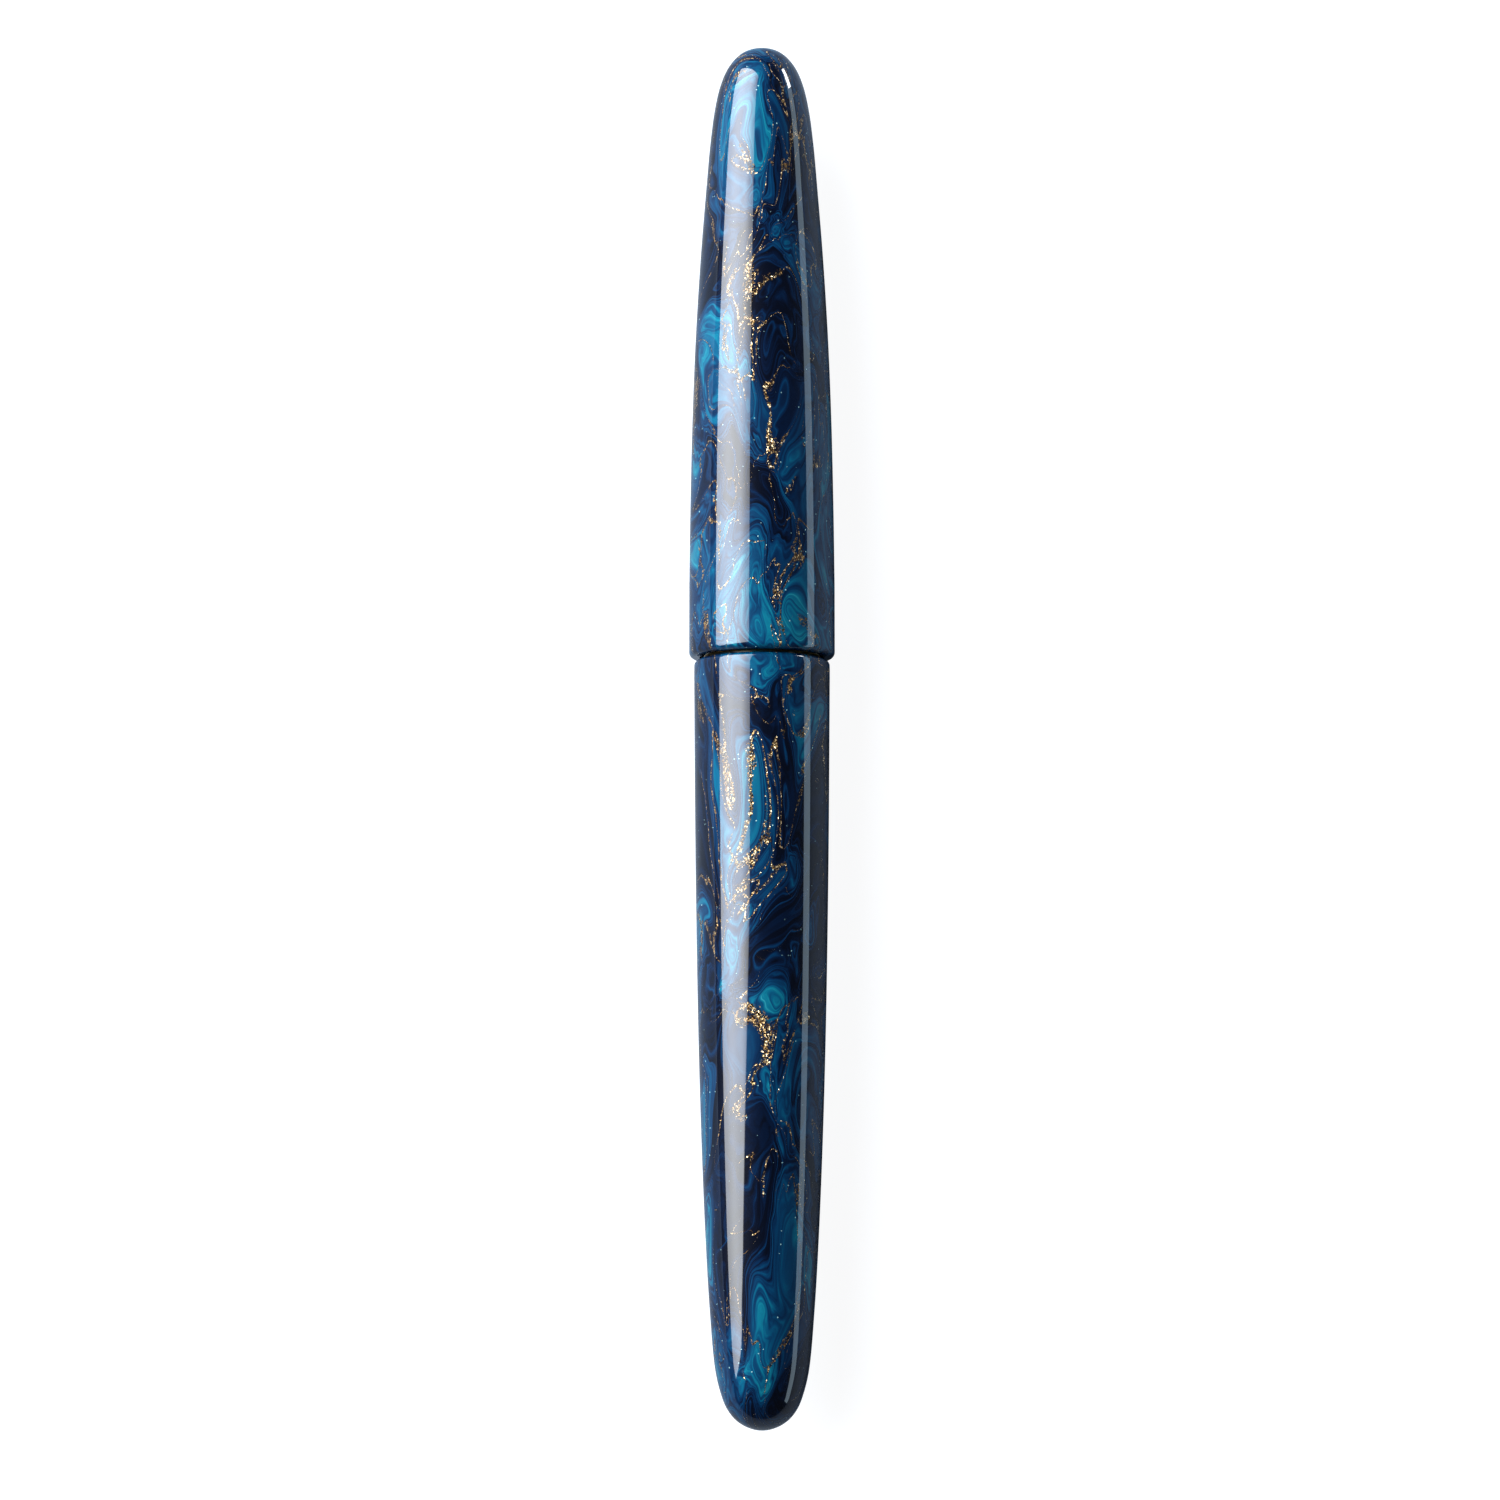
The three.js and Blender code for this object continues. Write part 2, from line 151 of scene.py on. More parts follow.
def densify(profile, x0, x1, r0, r1, step, closed=True):
    """Splits the segments that lie in a band of x and r, for threads and ribs."""
    out = []
    n = len(profile)
    for i in range(n):
        p = profile[i]
        out.append(p)
        if i == n - 1 and not closed:
            break
        q = profile[(i + 1) % n]
        inside = all(x0 - 1e-6 <= s[0] <= x1 + 1e-6 and r0 <= s[1] <= r1 for s in (p, q))
        length = math.dist(p, q)
        if inside and length > step * 1.5:
            m = int(math.ceil(length / step))
            for k in range(1, m):
                t = k / m
                out.append((p[0] + (q[0] - p[0]) * t, p[1] + (q[1] - p[1]) * t))
    return out


def finish_mesh(name, me, sharp=38):
    me.validate(clean_customdata=False)
    bm = bmesh.new()
    bm.from_mesh(me)
    bmesh.ops.recalc_face_normals(bm, faces=bm.faces)
    bm.to_mesh(me)
    bm.free()
    me.shade_smooth()
    me.set_sharp_from_angle(angle=math.radians(sharp))
    ob = bpy.data.objects.new(name, me)
    scene.collection.objects.link(ob)
    return ob


def lathe(name, profile, sides=128, shape=None, second=None, sharp=38):
    """Revolves [x, r] pairs, in mm, round the pen's axis. A profile that doesn't
    start and end on the axis closes on itself. shape(i, x, r, angles) may change
    a ring's radii, and second(x, r) is true where the second material goes."""
    ang = np.arange(sides) / sides * TAU
    sa, ca = np.sin(ang), np.cos(ang)
    on_axis = profile[0][1] < 1e-9 and profile[-1][1] < 1e-9
    verts, rings = [], []
    for i, (x, r) in enumerate(profile):
        if r < 1e-9:
            rings.append([len(verts)])
            verts.append((x * MM, 0.0, AXIS_Z * MM))
            continue
        rr = np.full(sides, float(r))
        if shape is not None:
            rr = shape(i, x, rr, ang)
        base = len(verts)
        for j in range(sides):
            verts.append((x * MM, rr[j] * sa[j] * MM, (AXIS_Z + rr[j] * ca[j]) * MM))
        rings.append(list(range(base, base + sides)))
    faces, where = [], []
    n = len(profile)
    for i in range(n - 1 if on_axis else n):
        a, b = rings[i], rings[(i + 1) % n]
        mid = ((profile[i][0] + profile[(i + 1) % n][0]) / 2, (profile[i][1] + profile[(i + 1) % n][1]) / 2)
        if len(a) == 1 and len(b) == 1:
            continue
        for j in range(sides):
            k = (j + 1) % sides
            if len(a) == 1:
                faces.append((a[0], b[j], b[k]))
            elif len(b) == 1:
                faces.append((a[j], b[0], a[k]))
            else:
                faces.append((a[j], b[j], b[k], a[k]))
            where.append(mid)
    me = bpy.data.meshes.new(name)
    me.from_pydata(verts, [], faces)
    if second is not None:
        me.polygons.foreach_set("material_index", [1 if second(*w) else 0 for w in where])
    return finish_mesh(name, me, sharp)


def thread_height(x, angles, start, length, lead, starts, phase, base, crest):
    """0..1 height of a right-handed thread's ridge at each angle of a ring."""
    turns = length / lead
    a = math.pi - angles
    out = np.zeros_like(angles)
    for k in range(starts):
        run = np.mod((a - phase - k * TAU / starts) / TAU, 1.0)
        for n in range(int(math.ceil(turns)) + 1):
            t = run + n
            d = np.abs(x - (start + t * lead))
            h = np.clip((base / 2 - d) / (base / 2 - crest / 2), 0, 1)
            run_out = np.clip(np.minimum(t, turns - t) * 7, 0, 1)
            run_out = run_out * run_out * (3 - 2 * run_out)
            out = np.maximum(out, h * run_out)
    return out


def male(root, r_base, r_crest, **kw):
    def f(x, rr, angles):
        return np.maximum(rr, r_base + (r_crest - r_base) * thread_height(x, angles, **kw))
    return f


def female(r_base, r_crest, **kw):
    def f(x, rr, angles):
        return np.minimum(rr, r_base + (r_crest - r_base) * thread_height(x, angles, **kw))
    return f


def pchip(table, x):
    """Smooth monotone interpolation of an [x, y] table."""
    xs = np.array([p[0] for p in table], float)
    ys = np.array([p[1] for p in table], float)
    h, d = np.diff(xs), np.diff(ys) / np.diff(xs)
    m = np.zeros(len(xs))
    m[0], m[-1] = d[0], d[-1]
    for i in range(1, len(xs) - 1):
        if d[i - 1] * d[i] > 0:
            w1, w2 = 2 * h[i] + h[i - 1], h[i] + 2 * h[i - 1]
            m[i] = (w1 + w2) / (w1 / d[i - 1] + w2 / d[i])
    x = min(max(x, xs[0]), xs[-1])
    i = min(int(np.searchsorted(xs, x, side="right")) - 1, len(xs) - 2)
    t = (x - xs[i]) / h[i]
    return float((2 * t ** 3 - 3 * t ** 2 + 1) * ys[i] + (t ** 3 - 2 * t ** 2 + t) * h[i] * m[i]
                 + (-2 * t ** 3 + 3 * t ** 2) * ys[i + 1] + (t ** 3 - t ** 2) * h[i] * m[i + 1])


def boolean(ob, cutter, operation="DIFFERENCE"):
    mod = ob.modifiers.new("cut", "BOOLEAN")
    mod.operation = operation
    mod.solver = "EXACT"
    mod.object = cutter
    dg = bpy.context.evaluated_depsgraph_get()
    me = bpy.data.meshes.new_from_object(ob.evaluated_get(dg))
    ob.modifiers.clear()
    old = ob.data
    ob.data = me
    bpy.data.meshes.remove(old)
    gone = cutter.data
    bpy.data.objects.remove(cutter)
    bpy.data.meshes.remove(gone)
    return ob


def block(name, x0, x1, y0, y1, z0, z1, turn=0.0, shift=(0, 0, 0)):
    """A cutter block in mm, z measured from the pen's axis, turned about Y."""
    bm = bmesh.new()
    bmesh.ops.create_cube(bm, size=1.0)
    for v in bm.verts:
        v.co = Vector(((x0 + x1) / 2 + v.co.x * (x1 - x0), (y0 + y1) / 2 + v.co.y * (y1 - y0),
                       (z0 + z1) / 2 + v.co.z * (z1 - z0)))
        v.co = Matrix.Rotation(turn, 3, "Y") @ v.co + Vector(shift)
        v.co = (v.co + Vector((0, 0, AXIS_Z))) * MM
    me = bpy.data.meshes.new(name)
    bm.to_mesh(me)
    bm.free()
    ob = bpy.data.objects.new(name, me)
    scene.collection.objects.link(ob)
    return ob


# ============================================================== materials
class Nodes:
    """Short names for the shader nodes used below."""

    def __init__(self, name):
        self.mat = bpy.data.materials.new(name)
        self.mat.use_nodes = True
        self.tree = self.mat.node_tree
        self.tree.nodes.clear()
        self.out = self.tree.nodes.new("ShaderNodeOutputMaterial")
        self.bsdf = self.tree.nodes.new("ShaderNodeBsdfPrincipled")
        self.link(self.bsdf.outputs[0], self.out.inputs["Surface"])

    def link(self, a, b):
        self.tree.links.new(a, b)

    def put(self, socket, value):
        if isinstance(value, bpy.types.NodeSocket):
            self.link(value, socket)
        elif value is not None:
            socket.default_value = value

    def coords(self, scale=1000.0, loc=(0, 0, 0)):
        """Object coordinates in millimetres from the pen's axis."""
        tc = self.tree.nodes.new("ShaderNodeTexCoord")
        m = self.tree.nodes.new("ShaderNodeMapping")
        m.inputs["Scale"].default_value = (scale,) * 3 if not isinstance(scale, tuple) else scale
        m.inputs["Location"].default_value = loc
        self.link(tc.outputs["Object"], m.inputs["Vector"])
        return m.outputs[0]

    def noise(self, vec, scale, detail=2.0, rough=0.5, dims="3D", w=None, distortion=0.0):
        n = self.tree.nodes.new("ShaderNodeTexNoise")
        n.noise_dimensions = dims
        if vec is not None and dims != "1D":
            self.link(vec, n.inputs["Vector"])
        if w is not None:
            self.put(n.inputs["W"], w)
        n.inputs["Scale"].default_value = scale
        n.inputs["Detail"].default_value = detail
        n.inputs["Roughness"].default_value = rough
        n.inputs["Distortion"].default_value = distortion
        return n

    def cells(self, vec, scale, randomness=1.0, feature="F1"):
        n = self.tree.nodes.new("ShaderNodeTexVoronoi")
        n.feature = feature
        self.link(vec, n.inputs["Vector"])
        n.inputs["Scale"].default_value = scale
        n.inputs["Randomness"].default_value = randomness
        return n

    def math(self, op, a, b=None, c=None, clamp=False):
        n = self.tree.nodes.new("ShaderNodeMath")
        n.operation = op
        n.use_clamp = clamp
        self.put(n.inputs[0], a)
        self.put(n.inputs[1], b)
        if c is not None:
            self.put(n.inputs[2], c)
        return n.outputs[0]

    def vec(self, op, a, b=None, scale=None):
        n = self.tree.nodes.new("ShaderNodeVectorMath")
        n.operation = op
        self.put(n.inputs[0], a)
        self.put(n.inputs[1], b)
        if scale is not None:
            self.put(n.inputs["Scale"], scale)
        return n.outputs["Vector"]

    def combine(self, x, y, z):
        n = self.tree.nodes.new("ShaderNodeCombineXYZ")
        for s, v in zip(n.inputs, (x, y, z)):
            self.put(s, v)
        return n.outputs[0]

    def split(self, v):
        n = self.tree.nodes.new("ShaderNodeSeparateXYZ")
        self.link(v, n.inputs[0])
        return n.outputs

    def span(self, value, lo, hi, to_lo=0.0, to_hi=1.0, smooth=True):
        n = self.tree.nodes.new("ShaderNodeMapRange")
        n.interpolation_type = "SMOOTHSTEP" if smooth else "LINEAR"
        n.clamp = True
        self.put(n.inputs["Value"], value)
        for key, v in (("From Min", lo), ("From Max", hi), ("To Min", to_lo), ("To Max", to_hi)):
            self.put(n.inputs[key], v)
        return n.outputs[0]

    def ramp(self, fac, stops, mode="LINEAR"):
        n = self.tree.nodes.new("ShaderNodeValToRGB")
        n.color_ramp.interpolation = mode
        els = n.color_ramp.elements
        while len(els) > 1:
            els.remove(els[-1])
        els[0].position, els[0].color = stops[0][0], (*stops[0][1], 1)
        for pos, col in stops[1:]:
            e = els.new(pos)
            e.color = (*col, 1)
        self.put(n.inputs["Fac"], fac)
        return n.outputs["Color"]

    def mix(self, fac, a, b):
        n = self.tree.nodes.new("ShaderNodeMix")
        n.data_type = "RGBA"
        self.put(n.inputs["Factor"], fac)
        ins = [s for s in n.inputs if s.type == "RGBA"]
        for s, v in zip(ins, (a, b)):
            self.put(s, (*v, 1) if isinstance(v, tuple) else v)
        return [s for s in n.outputs if s.type == "RGBA"][0]

    def bump(self, height, strength, distance, normal=None):
        n = self.tree.nodes.new("ShaderNodeBump")
        n.inputs["Strength"].default_value = strength
        n.inputs["Distance"].default_value = distance
        self.link(height, n.inputs["Height"])
        if normal is not None:
            self.link(normal, n.inputs["Normal"])
        return n.outputs[0]

    def normal(self):
        return self.tree.nodes.new("ShaderNodeNewGeometry").outputs["Normal"]

    def set(self, **values):
        names = {"base": "Base Color", "metallic": "Metallic", "rough": "Roughness", "ior": "IOR",
                 "normal": "Normal", "coat": "Coat Weight", "coat_rough": "Coat Roughness",
                 "coat_ior": "Coat IOR", "specular": "Specular IOR Level", "anisotropic": "Anisotropic",
                 "transmission": "Transmission Weight", "alpha": "Alpha"}
        for key, value in values.items():
            if isinstance(value, tuple) and len(value) == 3:
                value = (*value, 1)
            self.put(self.bsdf.inputs[names[key]], value)
        return self.mat


def marbled(name, rough, coat, coat_rough):
    """Cast resin: pearly blue strands folded through dark blue, with gold flake
    caught along some of the folds. The figure is solid, so it runs through the
    wall and over every cut face."""
    n = Nodes(name)
    p = n.coords(1000.0, (SEED[0], SEED[1], SEED[2]))
    s = n.vec("MULTIPLY", p, (0.46, 1.0, 1.0))
    # three folds, each bending the ones below it
    w1 = n.vec("SUBTRACT", n.noise(s, 0.080, 1.0).outputs["Color"], (0.5, 0.5, 0.5))
    q1 = n.vec("ADD", s, n.vec("SCALE", w1, scale=17.0))
    w2 = n.vec("SUBTRACT", n.noise(q1, 0.19, 1.0).outputs["Color"], (0.5, 0.5, 0.5))
    q2 = n.vec("ADD", q1, n.vec("SCALE", w2, scale=7.5))
    w3 = n.vec("SUBTRACT", n.noise(q2, 0.55, 1.0).outputs["Color"], (0.5, 0.5, 0.5))
    q3 = n.vec("ADD", q2, n.vec("SCALE", w3, scale=1.3))
    body = n.noise(q3, 0.165, 1.0, 0.5).outputs["Fac"]
    fold = n.noise(n.vec("ADD", q3, (31.0, 17.0, 7.0)), 0.125, 1.0, 0.5).outputs["Fac"]
    # strands run along the folds
    strand_at = n.combine(n.math("MULTIPLY", body, 34.0), n.math("MULTIPLY", fold, 6.0), 0.0)
    strand = n.noise(strand_at, 1.0, 2.0, 0.5, "2D").outputs["Fac"]
    fine_at = n.combine(n.math("MULTIPLY", body, 90.0), n.math("MULTIPLY", fold, 16.0), 0.0)
    fine = n.noise(fine_at, 1.0, 2.0, 0.55, "2D").outputs["Fac"]
    cloud = n.noise(q2, 0.5, 3.0, 0.6).outputs["Fac"]
    depth = n.span(body, 0.34, 0.74)
    tone = n.math("ADD", n.math("MULTIPLY_ADD", depth, 0.56, 0.10),
                  n.math("MULTIPLY", n.math("SUBTRACT", strand, 0.5), 1.05))
    tone = n.math("ADD", tone, n.math("MULTIPLY", n.math("SUBTRACT", cloud, 0.5), 0.30))
    tone = n.math("ADD", tone, n.math("MULTIPLY", n.math("SUBTRACT", fine, 0.5), 0.34), clamp=True)
    blue = n.ramp(tone, [
        (0.00, (0.0002, 0.0014, 0.0066)), (0.20, (0.0002, 0.0050, 0.0220)), (0.38, (0.0002, 0.0150, 0.0520)),
        (0.54, (0.0003, 0.0340, 0.0900)), (0.70, (0.0005, 0.0700, 0.1400)), (0.86, (0.0018, 0.1300, 0.1950)),
        (1.00, (0.020, 0.205, 0.265))])
    # gold: two families of veins, each showing along part of its run only
    patch = n.noise(n.vec("ADD", q1, (5.0, 71.0, 3.0)), 0.12, 2.0).outputs["Fac"]
    swell = n.noise(n.vec("ADD", q2, (9.0, 3.0, 47.0)), 0.26, 1.0).outputs["Fac"]
    broad = n.math("ABSOLUTE", n.math("SUBTRACT", fold, 0.5))
    broad_w = n.math("MULTIPLY", n.span(swell, 0.42, 0.72, 0.006, 0.030), n.span(patch, 0.43, 0.55))
    thin_f = n.noise(n.vec("ADD", q3, (3.0, 57.0, 29.0)), 0.20, 1.0, 0.5).outputs["Fac"]
    thin = n.math("ABSOLUTE", n.math("SUBTRACT", thin_f, 0.5))
    thin_w = n.math("MULTIPLY", n.span(patch, 0.34, 0.54, 0.0, 0.018), n.span(swell, 0.32, 0.48))
    d1 = n.math("SUBTRACT", 1.0, n.math("DIVIDE", broad, n.math("ADD", broad_w, 0.0003)))
    d2 = n.math("SUBTRACT", 1.0, n.math("DIVIDE", thin, n.math("ADD", thin_w, 0.0003)))
    density = n.math("MAXIMUM", n.math("MULTIPLY", d1, 0.50), n.math("MULTIPLY", d2, 0.36), clamp=True)
    # flakes: broken cells, more of them near the middle of a vein
    jitter = n.vec("ADD", p, n.vec("SCALE", n.noise(p, 1.3, 2.0).outputs["Color"], scale=0.5))
    flake = n.cells(n.vec("MULTIPLY", jitter, (0.8, 1.0, 1.0)), 5.2)
    tint = n.split(flake.outputs["Color"])
    flake2 = n.cells(n.vec("ADD", jitter, (13.0, 5.0, 9.0)), 8.5)
    tint2 = n.split(flake2.outputs["Color"])
    keep1 = n.span(n.math("SUBTRACT", n.math("MULTIPLY", density, 1.25), tint[0]), 0.0, 0.14)
    keep2 = n.span(n.math("SUBTRACT", n.math("MULTIPLY", density, 1.0), tint2[0]), 0.0, 0.14)
    gold = n.math("MAXIMUM", keep1, keep2)
    shade = n.math("MULTIPLY_ADD", tint2[1], 0.6, n.math("MULTIPLY", tint[1], 0.4))
    metal = n.ramp(shade, [
        (0.00, (0.018, 0.008, 0.004)), (0.32, (0.075, 0.034, 0.012)), (0.55, (0.20, 0.115, 0.042)),
        (0.75, (0.42, 0.29, 0.135)), (1.00, (0.90, 0.76, 0.52))])
    # a dark brown bed under the flake
    bed = n.math("MULTIPLY", n.span(density, 0.02, 0.5), 0.60)
    under = n.mix(bed, blue, (0.010, 0.0085, 0.0080))
    # painted glints: small pale specks put into the base colour as sparkle, mostly in the pearly strands
    speck = n.cells(p, 2.1)
    speck_tint = n.split(speck.outputs["Color"])
    painted_glint = n.math("MULTIPLY", n.math("GREATER_THAN", speck_tint[0], 0.93),
                    n.math("LESS_THAN", speck.outputs["Distance"], 0.15))
    painted_glint = n.math("MULTIPLY", painted_glint, n.span(tone, 0.15, 0.5, 0.25, 1.0))
    colour = n.mix(gold, under, metal)
    # the pale painted glint specks are mixed into the base colour here
    colour = n.mix(painted_glint, colour, (0.30, 0.52, 0.52))
    # each flake lies at its own angle in the resin
    lean = n.vec("SUBTRACT", flake2.outputs["Color"], (0.5, 0.5, 0.5))
    lean = n.vec("SCALE", lean, scale=n.math("MULTIPLY", gold, 1.1))
    facing = n.vec("NORMALIZE", n.vec("ADD", n.normal(), lean))
    pearl = n.math("MULTIPLY", n.span(tone, 0.45, 1.0), 0.10)
    metallic = n.math("MAXIMUM", pearl, n.math("MULTIPLY", gold, 0.75))
    roughness = n.mix(gold, n.ramp(tone, [(0.0, (rough,) * 3), (1.0, (rough + 0.12,) * 3)]), (0.36, 0.36, 0.36))
    return n.set(base=colour, metallic=metallic, rough=roughness, normal=facing,
                 coat=coat, coat_rough=coat_rough, ior=1.5, coat_ior=1.5, specular=0.04)


def plastic(name, colour, rough, spread=0.25, grain=0.0, coat=0.0):
    n = Nodes(name)
    p = n.coords()
    v = n.noise(p, 0.9, 4.0, 0.6).outputs["Fac"]
    lo = tuple(c * (1 - spread) for c in colour)
    hi = tuple(min(1, c * (1 + spread)) for c in colour)
    f = n.noise(p, 14.0, 3.0, 0.6).outputs["Fac"]
    r = n.span(f, 0.3, 0.7, rough * 0.85, rough * 1.2)
    args = dict(base=n.ramp(v, [(0.3, lo), (0.7, hi)]), rough=r, ior=1.5, coat=coat, coat_rough=0.05)
    if grain:
        args["normal"] = n.bump(f, grain, 0.00003)
    return n.set(**args)


def turned_metal(name, colour, rough, lines=0.05, spread=0.10):
    """Lathe-turned metal: fine rings round the axis, with a little tarnish."""
    n = Nodes(name)
    p = n.coords()
    x = n.split(p)[0]
    ring = n.noise(None, 5.0, 1.0, 0.5, "1D", w=x).outputs["Fac"]
    blot = n.noise(p, 0.7, 4.0, 0.6).outputs["Fac"]
    lo = tuple(c * (1 - spread) for c in colour)
    hi = tuple(min(1, c * (1 + spread * 0.6)) for c in colour)
    r = n.math("ADD", n.span(ring, 0.3, 0.7, rough * 0.7, rough * 1.3), n.span(blot, 0.45, 0.8, 0.0, 0.06))
    return n.set(base=n.ramp(blot, [(0.3, hi), (0.75, lo)]), metallic=1.0, rough=r,
                 normal=n.bump(ring, lines, 0.00001))


SEED = (37.0, 11.0, 5.0)
resin = marbled("marbled_resin", 0.42, 1.0, 0.012)
resin_bore = marbled("marbled_resin_bore", 0.5, 0.25, 0.28)
liner_mat = plastic("liner_plastic", (0.022, 0.023, 0.027), 0.40, 0.2, 0.25)
black_mat = plastic("black_plastic", (0.012, 0.012, 0.014), 0.28, 0.2, 0.12)
ebonite_mat = plastic("ebonite", (0.010, 0.010, 0.011), 0.46, 0.35, 0.35)
rubber_mat = plastic("rubber", (0.008, 0.008, 0.008), 0.72, 0.25, 0.4)
steel_mat = turned_metal("stainless_steel", (0.62, 0.63, 0.65), 0.20)
brass_mat = turned_metal("brass", (0.78, 0.56, 0.24), 0.24)
tip_mat = turned_metal("tipping_alloy", (0.66, 0.67, 0.69), 0.24, 0.05)


def nib_gold():
    """Polished sheet with a cut border line along its edge."""
    n = Nodes("gold_nib")
    p = n.coords()
    edge = n.tree.nodes.new("ShaderNodeAttribute")
    edge.attribute_name = "edge_mm"
    d = edge.outputs["Fac"]
    line = n.math("MAXIMUM", n.span(n.math("ABSOLUTE", n.math("SUBTRACT", d, 0.62)), 0.03, 0.085, 1.0, 0.0),
                  n.span(n.math("ABSOLUTE", n.math("SUBTRACT", d, 0.88)), 0.015, 0.05, 0.8, 0.0))
    blot = n.noise(p, 0.8, 3.0, 0.6).outputs["Fac"]
    long_x = n.vec("MULTIPLY", p, (0.6, 16.0, 16.0))
    brush = n.noise(long_x, 1.0, 3.0, 0.6).outputs["Fac"]
    base = n.ramp(blot, [(0.3, (0.86, 0.60, 0.24)), (0.7, (0.80, 0.53, 0.19))])
    colour = n.mix(n.math("MULTIPLY", line, 0.6), base, (0.20, 0.11, 0.03))
    r = n.math("ADD", n.span(brush, 0.3, 0.7, 0.10, 0.19), n.math("MULTIPLY", line, 0.2))
    height = n.math("SUBTRACT", n.math("MULTIPLY", brush, 0.02), line)
    return n.set(base=colour, metallic=1.0, rough=r, normal=n.bump(height, 0.35, 0.00004))


nib_mat = nib_gold()


def clear():
    n = Nodes("clear_plastic")
    p = n.coords()
    x = n.noise(p, 1.4, 4.0, 0.6).outputs["Fac"]
    tint = n.ramp(x, [(0.3, (0.93, 0.96, 0.97)), (0.7, (0.87, 0.92, 0.94))])
    scuff = n.span(n.noise(n.vec("MULTIPLY", p, (0.5, 3.0, 3.0)), 2.2, 4.0, 0.7).outputs["Fac"], 0.45, 0.75, 0.02, 0.11)
    return n.set(base=tint, rough=scuff, ior=1.49, transmission=1.0)


clear_mat = clear()


def place(ob, body, node, slot, *mats):
    for m in mats:
        ob.data.materials.append(m)
    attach(ob, body)
    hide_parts(node)
    return ob


# ==================================================================== cap
cap_curve = [(15.4, 7.85), (24, 7.74), (34, 7.52), (43, 7.17), (52, 6.63), (59, 6.08), (64.2, 5.63),
             (68, 5.15), (70.6, 4.58), (72.5, 3.83), (73.8, 2.88), (74.5, 1.98), (74.9, 0.85), (75, 0)]
cap_out = [(7.65, 7.15)]
for k in range(1, 9):                                   # the lip's round edge
    t = k / 8 * math.pi / 2
    cap_out.append((7.65 + 0.62 * (1 - math.cos(t)), 7.23 + 0.62 * math.sin(t)))
cap_out += [(9.6, 7.85), (11.2, 7.85), (12.9, 7.85)]
cap_out += catmull(cap_curve, 9, end_pole=True)
cap_bore = rounded([(66.5, 4.1), (60.2, 4.1), (60.2, 4.95), (55.5, 4.95), (50.6, 5.8), (39.2, 5.8),
                    (39.2, 6.15), (16.8, 6.15), (16.8, 6.55), (8.1, 6.55), (7.65, 6.75)], 0.12, closed=False)
# the outline and the bore both start on the axis, so the loop runs bore end, lip, outside, dome
ring_order = [(66.5, 0.0)] + cap_bore + cap_out
ring_order = densify(ring_order, 8.1, 16.8, 6.4, 6.6, 0.07, closed=False)
cap_thread = female(6.82, 6.15, start=9.3, length=2.4, lead=2.4, starts=3, phase=math.pi / 3, base=0.5, crest=0.12)


def cap_shape(i, x, rr, angles):
    if 8.2 < x < 14.5 and rr[0] < 6.6:
        return cap_thread(x, rr, angles)
    return rr


cap_shell = lathe("cap_shell_turned", ring_order, 176, cap_shape,
                  second=lambda x, r: (r < 6.66 and x < 39.3) or (r < 5.9 and 39.1 < x < 50.8)
                  or (r < 5.0 and 50 < x < 60.4) or (r < 4.15 and 60 < x < 66.6))
place(cap_shell, "cap", "cap_shell", "marbled_resin", resin, resin_bore)

retainer = lathe("inner_cap_retainer_turned",
                 rounded([(28.4, 5.55), (28.4, 6.0), (31.4, 6.0), (31.4, 5.55)], 0.1), 96)
place(retainer, "cap", "inner_cap_retainer", "stainless_steel", steel_mat)

inner_cap = lathe("inner_cap_moulded", rounded([
    (58.2, 0), (58.2, 3.9), (54.0, 3.9), (48.8, 4.78), (34.8, 4.78), (34.8, 5.9), (36.4, 5.9),
    (36.4, 5.5), (49.2, 5.5), (54.2, 4.65), (59.0, 4.65), (59.0, 0)], 0.18), 112)
place(inner_cap, "inner_cap_unit", "inner_cap", "liner_plastic", liner_mat)


def coil(name, x0, length, radius, turns, wire, around=14, per_turn=48):
    """A compression spring with closed end coils, as a swept wire."""
    steps = int(turns * per_turn)
    verts, faces = [], []
    pts = []
    for i in range(steps + 1):
        t = i / steps
        k = t * turns
        # the end coils lie nearly flat
        lead = np.interp(k, [0, 0.75, turns - 0.75, turns], [0, 0.075, 0.925, 1.0])
        a = k * TAU
        pts.append(np.array((x0 + length * lead, radius * math.sin(a), radius * math.cos(a))))
    for i, q in enumerate(pts):
        a = pts[max(0, i - 1)]
        b = pts[min(len(pts) - 1, i + 1)]
        tan = (b - a) / np.linalg.norm(b - a)
        out = np.array((0, q[1], q[2])) / radius
        side = np.cross(tan, out)
        side /= np.linalg.norm(side)
        out = np.cross(side, tan)
        for j in range(around):
            c = j / around * TAU
            v = q + wire * (math.cos(c) * out + math.sin(c) * side)
            verts.append((v[0] * MM, v[1] * MM, (v[2] + AXIS_Z) * MM))
    for i in range(steps):
        for j in range(around):
            k = (j + 1) % around
            faces.append((i * around + j, (i + 1) * around + j, (i + 1) * around + k, i * around + k))
    faces.append(tuple(range(around)))
    faces.append(tuple(steps * around + j for j in range(around)))
    me = bpy.data.meshes.new(name)
    me.from_pydata(verts, [], faces)
    return finish_mesh(name, me)


spring = coil("inner_cap_spring_wound", 59.55, 5.35, 3.3, 4.5, 0.3)
spring.data.materials.append(steel_mat)
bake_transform(spring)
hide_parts("inner_cap_spring")

seat = lathe("spring_seat_stamped", rounded([(65.35, 2.0), (65.35, 3.9), (66.1, 3.9), (66.1, 2.0)], 0.1), 80)
place(seat, "spring_unit", "spring_seat", "stainless_steel", steel_mat)

